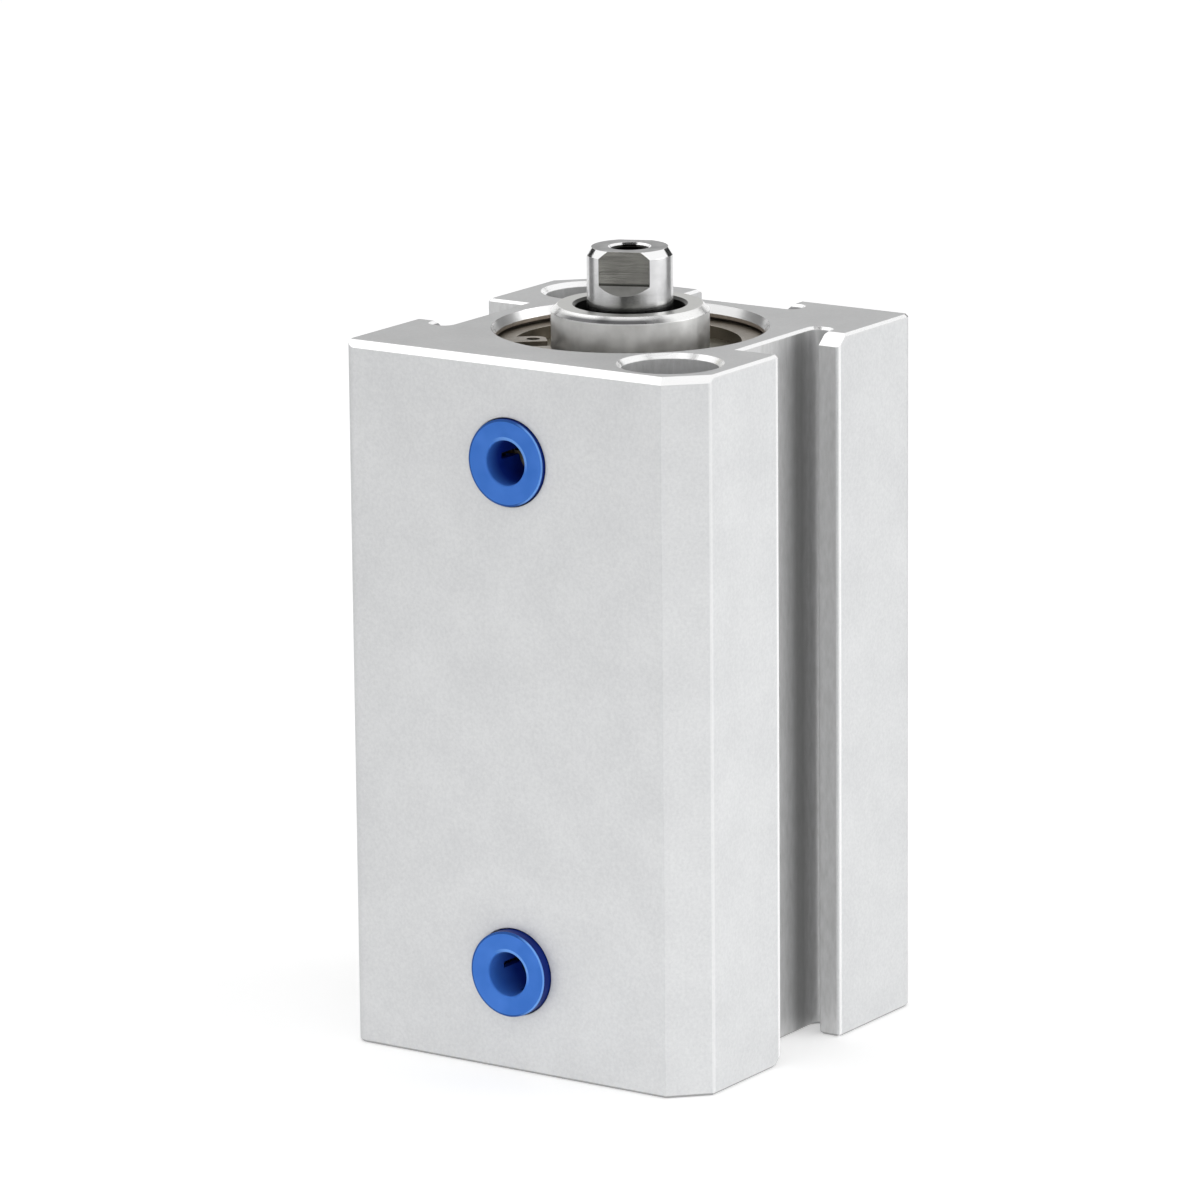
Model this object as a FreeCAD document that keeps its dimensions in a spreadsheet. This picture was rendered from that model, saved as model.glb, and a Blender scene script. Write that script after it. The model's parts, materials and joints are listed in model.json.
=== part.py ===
import FreeCAD, Part
import os
import re
import Sketcher

# Compact double-acting pneumatic cylinder with two push-in tube fittings.
# Millimetres. +Z runs along the rod, out of the rod end. The origin is the centre of the rear
# face of the barrel. The tube fittings are on the front, -Y. The rod is drawn retracted.

SIZES = {
    # Barrel extrusion
    "body_width": 38.0,
    "corner_radius": 1.2,
    "corner_flat": 3.2,
    "end_chamfer": 0.25,
    "rod_end_chamfer": 0.65,
    # Sensor grooves: one straight side, one side hooked under a lip
    "groove_straight_side": 4.3,
    "groove_hook_side": 5.95,
    "groove_depth": 4.4,
    "lip_thickness": 2.2,
    "undercut_reach": 2.7,
    "undercut_radius": 0.8,
    "groove_edge_radius": 0.3,
    "groove_lead_width": 1.3,
    "groove_lead_depth": 1.1,
    # Bore, and the wider seat for a cover at each end
    "stroke": 30.0,
    "bore_diameter": 20.0,
    "seat_diameter": 25.0,
    "seat_lead_width": 0.4,
    "seat_lead_depth": 0.8,
    # Mounting holes on one diagonal
    "bolt_pitch": 25.5,
    "bolt_hole": 5.5,
    "bolt_head": 8.9,
    "bolt_head_depth": 5.5,
    "bolt_head_chamfer": 0.45,
    # Internal retaining rings
    "ring_recess": 1.15,
    "ring_play": 0.25,
    "ring_thickness": 1.2,
    "ring_slot_depth": 0.6,
    "ring_band": 2.4,
    "ring_eccentric": 0.3,
    "ring_gap": 2.4,
    "ear_width": 2.4,
    "ear_clearance": 0.25,
    "ear_overlap": 0.6,
    "ear_round": 1.0,
    "ear_hole": 1.3,
    "front_ring_turn": 220.0,
    "rear_ring_turn": 45.0,
    # End covers
    "flange_thickness": 3.2,
    "pilot_length": 2.0,
    "hub_length": 2.7,
    "hub_diameter": 14.0,
    "cover_edge": 0.25,
    "o_ring_groove_width": 1.9,
    "o_ring_groove_depth": 1.25,
    "o_ring_chamfer": 0.5,
    # Rod boss, rod seal and bush in the front cover
    "boss_diameter": 14.7,
    "boss_height": 2.15,
    "boss_chamfer": 0.6,
    "boss_mouth": 10.2,
    "boss_lip": 1.2,
    "rod_seal_diameter": 12.4,
    "rod_seal_height": 3.4,
    "rod_seal_notch": 1.2,
    "bush_wall": 1.0,
    "bush_land": 1.05,
    # Piston rod
    "rod_diameter": 8.0,
    "rod_projection": 7.5,
    "rod_chamfer": 0.45,
    "rod_chamfer_length": 0.7,
    "rod_flats": 6.4,
    "rod_flats_length": 3.2,
    "rod_flats_turn": 24.0,
    "rod_thread_drill": 3.3,
    "rod_thread_depth": 9.0,
    "rod_thread_mouth": 4.0,
    "rod_seat_depth": 2.6,
    "spigot_diameter": 5.0,
    "rod_o_ring_section": 1.0,
    "rod_o_ring_height": 0.8,
    "rod_o_ring_chamfer": 0.3,
    # Two-piece piston with a magnet between its halves
    "piston_clearance": 0.2,
    "magnet_length": 3.4,
    "magnet_inset": 1.0,
    "magnet_hub": 10.4,
    "seal_thickness": 2.6,
    "seal_groove_width": 2.6,
    "seal_groove_land": 0.8,
    "seal_notch": 0.7,
    "seal_lip": 0.4,
    "wear_ring_thickness": 1.1,
    "wear_groove_width": 2.8,
    "wear_groove_land": 1.5,
    "wear_inner_land": 0.9,
    "wear_ring_split": 0.6,
    "bumper_width": 2.1,
    "bumper_groove": 1.2,
    "bumper_proud": 0.8,
    "bumper_chamfer": 0.3,
    "stop_gap": 0.2,
    "nut_flats": 8.0,
    "nut_height": 2.7,
    "nut_sink": 0.1,
    "nut_clearance": 0.38,
    "nut_recess_wall": 0.7,
    # Push-in fittings
    "port_offset": 0.85,
    "port_drill": 3.0,
    "port_clearance": 0.2,
    "port_floor": 0.85,
    "pocket_wall": 0.8,
    "tube_diameter": 4.0,
    "tube_clearance": 0.08,
    "tube_seat_length": 0.65,
    "sleeve_diameter": 8.1,
    "sleeve_clearance": 0.1,
    "sleeve_wall": 0.67,
    "barb_height": 0.4,
    "barb_length": 0.55,
    "sleeve_rim_round": 0.15,
    "sleeve_mouth_round": 0.2,
    "sleeve_travel": 1.1,
    "sleeve_slot": 0.6,
    "upper_sleeve_proud": 0.45,
    "guide_lip": 1.1,
    "grab_reach": 0.82,
    "grab_thickness": 0.3,
    "grab_dish": 0.5,
    "grab_slot": 0.4,
    "grab_seal_gap": 0.18,
    "tube_seal_section": 1.22,
    "tube_seal_thickness": 1.1,
    "tube_seal_chamfer": 0.35,
    # Clearances and the overrun of a cut
    "run_clearance": 0.05,
    "fit_clearance": 0.02,
    "side_clearance": 0.1,
    "cut_margin": 1.0,
}

# Places that follow from the sizes above.
PLACES = {
    # Barrel
    "half_width": "body_width/2",
    "groove_floor": "half_width - groove_depth",
    "undercut_end": "groove_hook_side + undercut_reach",
    # Retaining rings: the ears end short of the boss, and their rounding is limited by their side
    "ring_slot_diameter": "seat_diameter + 2*ring_slot_depth",
    "ring_outer": "ring_slot_diameter - 2*side_clearance",
    "ring_inner": "ring_outer - 2*ring_band",
    "ear_reach": "boss_diameter/2 + ear_clearance",
    "ear_root": "ring_inner/2 + ring_eccentric + ear_overlap",
    "ear_edge": "ring_gap/2 + ear_width",
    "ear_side": "ring_eccentric + sqrt((ring_inner/2)^2 - (ear_edge)^2) - ear_reach",
    "ear_corner": "min(ear_round; ear_side - side_clearance)",
    # Piston, as radii and lengths
    "piston_radius": "bore_diameter/2 - piston_clearance",
    "magnet_radius": "piston_radius - magnet_inset",
    "seal_floor": "bore_diameter/2 - seal_thickness - 2*run_clearance",
    "wear_floor": "bore_diameter/2 - wear_ring_thickness - 2*run_clearance",
    "nut_corner": "nut_flats/sqrt(3)",
    "nut_recess": "nut_corner + nut_clearance",
    "nut_recess_depth": "nut_height + nut_sink",
    "bumper_inner": "nut_recess + nut_recess_wall",
    "bumper_outer": "bumper_inner + bumper_width",
    "rod_o_ring_outer": "spigot_diameter/2 + rod_o_ring_section",
    "rear_half_length": "wear_groove_land + wear_groove_width + wear_inner_land",
    "front_half_length": "2*seal_groove_land + seal_groove_width + bumper_groove",
    "piston_length": "rear_half_length + magnet_length + front_half_length",
    # Heights along the axis, from the rear face up
    "rear_cover_face": "ring_recess + ring_play + ring_thickness",
    "rear_seat": "rear_cover_face + flange_thickness",
    "rear_pilot_end": "rear_seat + pilot_length",
    "rear_hub_end": "rear_pilot_end + hub_length",
    "piston_base": "rear_hub_end + stop_gap + bumper_proud",
    "magnet_base": "piston_base + rear_half_length",
    "magnet_top": "magnet_base + magnet_length",
    "piston_top": "piston_base + piston_length",
    "front_hub_end": "piston_top + bumper_proud + stop_gap + stroke",
    "front_pilot_end": "front_hub_end + hub_length",
    "front_seat": "front_pilot_end + pilot_length",
    "front_cover_face": "front_seat + flange_thickness",
    "body_length": "front_cover_face + ring_thickness + ring_play + ring_recess",
    "boss_top": "body_length + boss_height",
    "rod_seal_top": "boss_top - boss_lip",
    "rod_seal_base": "rod_seal_top - rod_seal_height",
    "bush_end": "rod_seal_base - bush_land",
    "rod_top": "body_length + rod_projection",
    "rod_shoulder": "piston_top - rod_seat_depth",
    "nut_seat": "piston_base + nut_recess_depth",
    "nut_base": "nut_seat - nut_height",
    "lower_port": "rear_pilot_end + port_clearance + port_drill/2",
    "upper_port": "body_length - lower_port",
    # Fittings: diameters, then how far in the pocket may reach, then depths from the front face
    "port_bore": "sleeve_diameter + 2*sleeve_clearance",
    "tube_bore": "tube_diameter + 2*tube_clearance",
    "sleeve_shank": "tube_bore + 2*sleeve_wall",
    "sleeve_barb": "sleeve_shank + 2*barb_height",
    "grab_rim": "tube_bore + 2*grab_reach",
    "tube_seal_diameter": "tube_bore + 2*tube_seal_section",
    "tube_seal_pocket": "grab_dish + grab_seal_gap + tube_seal_thickness + fit_clearance",
    "guide_length": "guide_lip + run_clearance + sleeve_travel + barb_length + side_clearance",
    "seat_limit": "seat_diameter/2 + pocket_wall",
    "bore_limit": "bore_diameter/2 + port_floor + tube_seat_length + tube_seal_pocket",
    "pocket_root": "max(seat_limit; bore_limit)",
    "sleeve_head": "half_width - pocket_root - grab_thickness - guide_length - side_clearance",
    "guide_face": "sleeve_head + side_clearance",
    "guide_stop": "guide_face + guide_lip",
    "guide_end": "guide_face + guide_length",
    "grab_end": "guide_end + grab_thickness",
    "tube_seal_end": "grab_end + tube_seal_pocket",
    "tube_stop": "tube_seal_end + tube_seat_length",
    "sleeve_length": "guide_end - side_clearance",
    "barb_start": "guide_stop + sleeve_travel + run_clearance",
}

WORD = re.compile(r"[a-z][a-z_]+")
UP = FreeCAD.Vector(0, 0, 1)
TINY = 1e-4

doc = FreeCAD.newDocument("compact_cylinder")
sheet = doc.addObject("Spreadsheet::Sheet", "dims")
for row, (word, size) in enumerate(SIZES.items(), 1):
    sheet.set(f"A{row}", word)
    sheet.set(f"B{row}", str(size))
    sheet.setAlias(f"B{row}", word)
doc.recompute()


def bound(text):
    """The spreadsheet expression for a size written with plain names."""
    def swap(match):
        found = match.group(0)
        if found in PLACES:
            return "(" + bound(PLACES[found]) + ")"
        return "dims." + found if found in SIZES else found
    return WORD.sub(swap, text)


def number(text):
    """The present value of a size written with plain names."""
    return float(sheet.evalExpression(bound(text)))


def new_body(label):
    body = doc.addObject("PartDesign::Body", label)
    body.Label = label
    return body


def place(body, x="0", y="0", z="0"):
    for axis, text in zip("xyz", (x, y, z)):
        body.setExpression("Placement.Base." + axis, bound(text))


def new_sketch(body, name, plane, offset=None):
    """An empty sketch on one of the body's own origin planes, moved along its normal."""
    sketch = body.newObject("Sketcher::SketchObject", name)
    support = next(item for item in body.Origin.OriginFeatures if item.Role == plane)
    sketch.AttachmentSupport = [(support, "")]
    sketch.MapMode = "FlatFace"
    if offset:
        sketch.setExpression("AttachmentOffset.Base.z", bound(offset))
        doc.recompute()
    return sketch


def pin(sketch, shape, end, spot):
    """Tie one point of a sketch to its two sizes."""
    for kind, axis, text in zip(("DistanceX", "DistanceY"), (-2, -1), spot):
        if text == "0":
            sketch.addConstraint(Sketcher.Constraint("PointOnObject", shape, end, axis))
        else:
            rule = sketch.addConstraint(Sketcher.Constraint(kind, -1, 1, shape, end, number(text)))
            sketch.setExpression(f"Constraints[{rule}]", bound(text))


def polygon(sketch, corners):
    spots = [FreeCAD.Vector(number(x), number(y), 0) for x, y in corners]
    first = sketch.GeometryCount
    count = len(spots)
    for here, there in zip(spots, spots[1:] + spots[:1]):
        sketch.addGeometry(Part.LineSegment(here, there), False)
    for index, corner in enumerate(corners):
        following = first + (index + 1) % count
        sketch.addConstraint(Sketcher.Constraint("Coincident", first + index, 2, following, 1))
        pin(sketch, first + index, 1, corner)


def circle(sketch, centre, diameter):
    middle = FreeCAD.Vector(number(centre[0]), number(centre[1]), 0)
    shape = sketch.addGeometry(Part.Circle(middle, UP, number(diameter)/2), False)
    pin(sketch, shape, 3, centre)
    rule = sketch.addConstraint(Sketcher.Constraint("Diameter", shape, number(diameter)))
    sketch.setExpression(f"Constraints[{rule}]", bound(diameter))


def add(body, kind, sketch, **sizes):
    """A feature from a sketch that adds material."""
    made = body.newObject("PartDesign::" + kind, sketch.Name + "_" + kind.lower())
    made.Profile = sketch
    for prop, text in sizes.items():
        made.setExpression(prop, bound(text))
    return made


def cut(body, kind, sketch, reverse=False, through=False, **sizes):
    """A feature from a sketch that takes material away, tested by the volume."""
    doc.recompute()
    before = body.Shape.Volume
    made = add(body, kind, sketch, **sizes)
    if kind == "Groove":
        made.ReferenceAxis = (sketch, ["V_Axis"])
        made.Angle = 360
    else:
        made.Reversed = reverse
    if through:
        made.Type = "ThroughAll"
    doc.recompute()
    if body.Shape.Volume > before - TINY:
        raise ValueError(made.Name + " cuts nothing")
    return made


def turned(label, corners):
    """A body made by turning a profile of (radius, height) corners about its own Z."""
    body = new_body(label)
    sketch = new_sketch(body, label + "_profile", "XZ_Plane")
    polygon(sketch, corners)
    made = add(body, "Revolution", sketch)
    made.ReferenceAxis = (sketch, ["V_Axis"])
    made.Angle = 360
    doc.recompute()
    return body


def break_edges(body, kind, size, wanted):
    """Chamfer or fillet the edges of a body that pass a test."""
    doc.recompute()
    base = body.Tip
    names = [f"Edge{index}" for index, edge in enumerate(base.Shape.Edges, 1) if wanted(edge)]
    if not names:
        raise ValueError(body.Label + " has no edge to break")
    made = body.newObject("PartDesign::" + kind, f"{body.Label}_{kind.lower()}_{len(body.Group)}")
    made.Base = (base, names)
    made.setExpression("Size" if kind == "Chamfer" else "Radius", bound(size))
    doc.recompute()


def near(first, second):
    return abs(first - second) < TINY


def upright_at(spots):
    """A test for upright edges that stand at one of some (x, y) spots."""
    def wanted(edge):
        ends = [vertex.Point for vertex in edge.Vertexes]
        if len(ends) != 2 or not (near(ends[0].x, ends[1].x) and near(ends[0].y, ends[1].y)):
            return False
        return any(near(ends[0].x, x) and near(ends[0].y, y) for x, y in spots)
    return wanted


def level_at(heights):
    """A test for edges that lie level at one of some heights."""
    def wanted(edge):
        return any(all(near(vertex.Point.z, height) for vertex in edge.Vertexes) for height in heights)
    return wanted


def across_corner(edge):
    """Whether an edge runs straight across a corner of the square."""
    way = edge.Vertexes[-1].Point - edge.Vertexes[0].Point
    return isinstance(edge.Curve, Part.Line) and near(abs(way.x), abs(way.y))


def round_at(radius, height):
    """A test for whole circles of one radius at one height."""
    size = number(radius)
    level = number(height)

    def wanted(edge):
        curve = edge.Curve
        return isinstance(curve, Part.Circle) and near(curve.Radius, size) and near(curve.Center.z, level)
    return wanted


def whole_round(edge):
    return isinstance(edge.Curve, Part.Circle)


def groove_spot(side, across, outward):
    """A point of a sensor groove, from its place across and out of its face, as (x, y)."""
    return {
        "right": (outward, across),
        "back": (across, outward),
        "left": (f"-({outward})", f"-({across})"),
    }[side]


# Plane, place along its normal, direction of the cut and sign across, for each grooved side.
GROOVE_LEADS = {
    "right": ("YZ_Plane", "groove_floor", True, ""),
    "back": ("XZ_Plane", "-groove_floor", False, ""),
    "left": ("YZ_Plane", "-groove_floor", False, "-"),
}


def barrel():
    """Square extrusion, hook-shaped sensor grooves, stepped bore, bolt holes and fitting pockets."""
    body = new_body("barrel")
    outline = new_sketch(body, "barrel_outline", "XY_Plane")
    polygon(outline, [
        ("-half_width", "-half_width"),
        ("half_width - corner_flat", "-half_width"),
        ("half_width", "corner_flat - half_width"),
        ("half_width", "half_width"),
        ("corner_flat - half_width", "half_width"),
        ("-half_width", "half_width - corner_flat"),
    ])
    add(body, "Pad", outline, Length="body_length")
    rod_end = level_at([number("body_length")])
    break_edges(body, "Chamfer", "rod_end_chamfer", lambda edge: rod_end(edge) and across_corner(edge))
    half = number("half_width")
    break_edges(body, "Fillet", "corner_radius", upright_at([(-half, -half), (half, half)]))

    hooks = []
    mouths = []
    for side in GROOVE_LEADS:
        section = new_sketch(body, side + "_groove", "XY_Plane")
        polygon(section, [groove_spot(side, across, outward) for across, outward in (
            ("-groove_straight_side", "half_width + cut_margin"),
            ("-groove_straight_side", "groove_floor"),
            ("undercut_end", "groove_floor"),
            ("undercut_end", "half_width - lip_thickness"),
            ("groove_hook_side", "half_width - lip_thickness"),
            ("groove_hook_side", "half_width + cut_margin"),
        )])
        cut(body, "Pocket", section, reverse=True, through=True)
        for outward in ("groove_floor", "half_width - lip_thickness"):
            hooks.append([number(text) for text in groove_spot(side, "undercut_end", outward)])
        for across in ("-groove_straight_side", "groove_hook_side"):
            mouths.append([number(text) for text in groove_spot(side, across, "half_width")])
    break_edges(body, "Fillet", "undercut_radius", upright_at(hooks))
    break_edges(body, "Fillet", "groove_edge_radius", upright_at(mouths))

    both_ends = level_at([0.0, number("body_length")])
    break_edges(body, "Chamfer", "end_chamfer", lambda edge: both_ends(edge) and not (
        rod_end(edge) and across_corner(edge)))
    bevels = new_sketch(body, "rod_end_bevels", "YZ_Plane", "half_width + cut_margin")
    for sign in ("", "-"):
        polygon(bevels, [(f"{sign}({across})", height) for across, height in (
            ("half_width - rod_end_chamfer - cut_margin", "body_length + cut_margin"),
            ("half_width + cut_margin", "body_length - rod_end_chamfer - cut_margin"),
            ("half_width + cut_margin", "body_length + cut_margin"),
        )])
    cut(body, "Pocket", bevels, Length="body_width + 2*cut_margin")

    for side, (plane, offset, reverse, sign) in GROOVE_LEADS.items():
        lead = new_sketch(body, side + "_groove_lead", plane, offset)
        polygon(lead, [(f"{sign}({across})", height) for across, height in (
            ("groove_hook_side", "body_length - groove_lead_depth"),
            ("groove_hook_side + groove_lead_width", "body_length"),
            ("groove_hook_side", "body_length"),
        )])
        polygon(lead, [(f"{sign}({across})", height) for across, height in (
            ("-groove_straight_side", "groove_lead_depth"),
            ("-groove_straight_side - groove_lead_width", "0"),
            ("-groove_straight_side", "0"),
        )])
        cut(body, "Pocket", lead, reverse=reverse, Length="groove_depth + cut_margin")

    seat = "seat_diameter/2"
    mouth = "seat_diameter/2 + seat_lead_width"
    slot = "ring_slot_diameter/2"
    bore = new_sketch(body, "stepped_bore", "XZ_Plane")
    polygon(bore, [
        ("0", "0"),
        (mouth, "0"),
        (seat, "seat_lead_depth"),
        (seat, "ring_recess"),
        (slot, "ring_recess"),
        (slot, "rear_cover_face + side_clearance"),
        (seat, "rear_cover_face + side_clearance"),
        (seat, "rear_seat"),
        ("bore_diameter/2", "rear_seat"),
        ("bore_diameter/2", "front_seat"),
        (seat, "front_seat"),
        (seat, "front_cover_face - side_clearance"),
        (slot, "front_cover_face - side_clearance"),
        (slot, "body_length - ring_recess"),
        (seat, "body_length - ring_recess"),
        (seat, "body_length - seat_lead_depth"),
        (mouth, "body_length"),
        ("0", "body_length"),
    ])
    cut(body, "Groove", bore)

    bolts = (("bolt_pitch/2", "-bolt_pitch/2"), ("-bolt_pitch/2", "bolt_pitch/2"))
    for name, diameter, depth in (("bolt_holes", "bolt_hole", "body_length + cut_margin"),
                                  ("bolt_heads", "bolt_head", "bolt_head_depth")):
        holes = new_sketch(body, name, "XY_Plane", "body_length")
        for spot in bolts:
            circle(holes, spot, diameter)
        cut(body, "Pocket", holes, Length=depth)
    break_edges(body, "Chamfer", "bolt_head_chamfer", round_at("bolt_head/2", "body_length"))

    for name, diameter, depth in (("fitting_pockets", "port_bore", "grab_end"),
                                  ("tube_seal_pockets", "tube_seal_diameter", "tube_seal_end"),
                                  ("tube_seats", "tube_bore", "tube_stop"),
                                  ("air_ways", "port_drill", "half_width")):
        holes = new_sketch(body, name, "XZ_Plane", "half_width")
        for height in ("lower_port", "upper_port"):
            circle(holes, ("-port_offset", height), diameter)
        cut(body, "Pocket", holes, Length=depth)
    return body


def front_cover():
    """Flange, pilot and inner hub, with the boss that the rod comes out of."""
    flange = "seat_diameter/2 - fit_clearance"
    groove = "seat_diameter/2 - fit_clearance - o_ring_groove_depth"
    pilot = "bore_diameter/2 - fit_clearance"
    middle = "front_seat + flange_thickness/2"
    bush = "rod_diameter/2 + run_clearance + bush_wall + fit_clearance"
    return turned("front_cover", [
        (bush, "front_hub_end"),
        ("hub_diameter/2 - cover_edge", "front_hub_end"),
        ("hub_diameter/2", "front_hub_end + cover_edge"),
        ("hub_diameter/2", "front_pilot_end"),
        (pilot + " - cover_edge", "front_pilot_end"),
        (pilot, "front_pilot_end + cover_edge"),
        (pilot, "front_seat"),
        (flange + " - cover_edge", "front_seat"),
        (flange, "front_seat + cover_edge"),
        (flange, middle + " - o_ring_groove_width/2"),
        (groove, middle + " - o_ring_groove_width/2"),
        (groove, middle + " + o_ring_groove_width/2"),
        (flange, middle + " + o_ring_groove_width/2"),
        (flange, "front_cover_face - cover_edge"),
        (flange + " - cover_edge", "front_cover_face"),
        ("boss_diameter/2", "front_cover_face"),
        ("boss_diameter/2", "boss_top - boss_chamfer"),
        ("boss_diameter/2 - boss_chamfer", "boss_top"),
        ("boss_mouth/2 + cover_edge", "boss_top"),
        ("boss_mouth/2", "boss_top - cover_edge"),
        ("boss_mouth/2", "rod_seal_top"),
        ("rod_seal_diameter/2", "rod_seal_top"),
        ("rod_seal_diameter/2", "rod_seal_base"),
        ("rod_diameter/2 + side_clearance", "rod_seal_base"),
        ("rod_diameter/2 + side_clearance", "bush_end"),
        (bush, "bush_end"),
    ])


def rear_cover():
    """Plug with the same flange, pilot and hub that closes the rear of the bore."""
    flange = "seat_diameter/2 - fit_clearance"
    groove = "seat_diameter/2 - fit_clearance - o_ring_groove_depth"
    pilot = "bore_diameter/2 - fit_clearance"
    middle = "rear_seat - flange_thickness/2"
    return turned("rear_cover", [
        ("0", "rear_cover_face"),
        (flange + " - cover_edge", "rear_cover_face"),
        (flange, "rear_cover_face + cover_edge"),
        (flange, middle + " - o_ring_groove_width/2"),
        (groove, middle + " - o_ring_groove_width/2"),
        (groove, middle + " + o_ring_groove_width/2"),
        (flange, middle + " + o_ring_groove_width/2"),
        (flange, "rear_seat - cover_edge"),
        (flange + " - cover_edge", "rear_seat"),
        (pilot, "rear_seat"),
        (pilot, "rear_pilot_end - cover_edge"),
        (pilot + " - cover_edge", "rear_pilot_end"),
        ("hub_diameter/2", "rear_pilot_end"),
        ("hub_diameter/2", "rear_hub_end - cover_edge"),
        ("hub_diameter/2 - cover_edge", "rear_hub_end"),
        ("0", "rear_hub_end"),
    ])


def soft_ring(label, inner, outer, base, top, edge_break):
    """A ring of rubber with broken edges, as it lies in its groove."""
    body = turned(label, [(inner, base), (outer, base), (outer, top), (inner, top)])
    break_edges(body, "Chamfer", edge_break, whole_round)
    return body


def cover_o_ring(label, middle):
    reach = "o_ring_groove_width/2 - side_clearance"
    return soft_ring(label, "seat_diameter/2 - o_ring_groove_depth", "seat_diameter/2 - fit_clearance",
                     f"{middle} - ({reach})", f"{middle} + {reach}", "o_ring_chamfer")


def retaining_ring(label, base, turn):
    """Internal retaining ring with two plier ears beside its gap. The gap is drawn towards +X."""
    body = new_body(label)
    band = new_sketch(body, label + "_band", "XY_Plane")
    circle(band, ("0", "0"), "ring_outer")
    circle(band, ("ring_eccentric", "0"), "ring_inner")
    add(body, "Pad", band, Length="ring_thickness")
    ears = new_sketch(body, label + "_ears", "XY_Plane")
    for sign in ("", "-"):
        polygon(ears, [
            ("ear_reach", sign + "ring_gap/2"),
            ("ear_root", sign + "ring_gap/2"),
            ("ear_root", sign + "ear_edge"),
            ("ear_reach", sign + "ear_edge"),
        ])
    add(body, "Pad", ears, Length="ring_thickness")
    gap = new_sketch(body, label + "_gap", "XY_Plane")
    polygon(gap, [
        ("ear_reach", "-ring_gap/2"),
        ("ring_slot_diameter/2 + cut_margin", "-ring_gap/2"),
        ("ring_slot_diameter/2 + cut_margin", "ring_gap/2"),
        ("ear_reach", "ring_gap/2"),
    ])
    cut(body, "Pocket", gap, reverse=True, through=True)
    corner = number("ear_edge")
    reach = number("ear_reach")
    break_edges(body, "Fillet", "ear_corner", upright_at([(reach, corner), (reach, -corner)]))
    holes = new_sketch(body, label + "_holes", "XY_Plane")
    for sign in ("", "-"):
        circle(holes, ("ear_reach + ear_width/2", sign + "(ring_gap + ear_width)/2"), "ear_hole")
    cut(body, "Pocket", holes, reverse=True, through=True)
    body.Placement = FreeCAD.Placement(FreeCAD.Vector(), FreeCAD.Rotation(UP, number(turn)))
    place(body, z=base)
    return body


def rod_bush():
    inner = "rod_diameter/2 + run_clearance"
    outer = "rod_diameter/2 + run_clearance + bush_wall"
    return turned("rod_bush", [
        (inner + " + cover_edge", "front_hub_end"),
        (outer, "front_hub_end"),
        (outer, "bush_end - fit_clearance"),
        (inner, "bush_end - fit_clearance"),
        (inner, "front_hub_end + cover_edge"),
    ])


def rod_seal():
    """Cup seal, open towards the pressure side."""
    inner = "rod_diameter/2 + run_clearance"
    outer = "rod_seal_diameter/2 - fit_clearance"
    middle = "rod_diameter/4 + rod_seal_diameter/4"
    base = "rod_seal_base + fit_clearance"
    top = "rod_seal_top - fit_clearance"
    return turned("rod_seal", [
        (inner, base),
        (middle + " - rod_seal_notch/4", base),
        (middle, base + " + rod_seal_notch"),
        (middle + " + rod_seal_notch/4", base),
        (outer, base),
        (outer, top),
        (inner, top),
    ])


def piston_rod():
    """Rod with a spigot for the piston, spanner flats with a sloped run-out, and a tapped end."""
    rod = "rod_diameter/2"
    drill = "rod_thread_drill/2"
    body = turned("piston_rod", [
        ("0", "nut_base"),
        ("spigot_diameter/2 - cover_edge", "nut_base"),
        ("spigot_diameter/2", "nut_base + cover_edge"),
        ("spigot_diameter/2", "rod_shoulder"),
        (rod, "rod_shoulder"),
        (rod, "rod_top - rod_chamfer_length"),
        (rod + " - rod_chamfer", "rod_top"),
        ("rod_thread_mouth/2", "rod_top"),
        (drill, "rod_top - (rod_thread_mouth - rod_thread_drill)/2"),
        (drill, "rod_top - rod_thread_depth"),
        ("0", "rod_top - rod_thread_depth - rod_thread_drill/4"),
    ])
    flats = new_sketch(body, "spanner_flats", "YZ_Plane", "rod_diameter")
    for sign in ("", "-"):
        polygon(flats, [
            (sign + "rod_flats/2", "rod_top + cut_margin"),
            (sign + "rod_flats/2", "rod_top - rod_flats_length"),
            (sign + "rod_diameter", "rod_top - rod_flats_length - (rod_diameter - rod_flats/2)"),
            (sign + "rod_diameter", "rod_top + cut_margin"),
        ])
    cut(body, "Pocket", flats, Length="2*rod_diameter")
    body.Placement = FreeCAD.Placement(FreeCAD.Vector(), FreeCAD.Rotation(UP, number("rod_flats_turn")))
    return body


def piston_front_half():
    """Carries the piston seal and the rod's shoulder. Its hub passes through the magnet."""
    outer = "piston_radius"
    spigot = "spigot_diameter/2 + fit_clearance"
    land = "magnet_top + seal_groove_land"
    return turned("piston_front_half", [
        (spigot, "magnet_base"),
        ("magnet_hub/2", "magnet_base"),
        ("magnet_hub/2", "magnet_top"),
        (outer, "magnet_top"),
        (outer, land),
        ("seal_floor", land),
        ("seal_floor", land + " + seal_groove_width"),
        (outer, land + " + seal_groove_width"),
        (outer, "piston_top - cover_edge"),
        (outer + " - cover_edge", "piston_top"),
        ("bumper_outer", "piston_top"),
        ("bumper_outer", "piston_top - bumper_groove"),
        ("bumper_inner", "piston_top - bumper_groove"),
        ("bumper_inner", "piston_top"),
        ("rod_diameter/2 + fit_clearance", "piston_top"),
        ("rod_diameter/2 + fit_clearance", "rod_shoulder"),
        ("rod_o_ring_outer", "rod_shoulder"),
        ("rod_o_ring_outer", "rod_shoulder - rod_o_ring_height"),
        (spigot, "rod_shoulder - rod_o_ring_height"),
    ])


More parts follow.
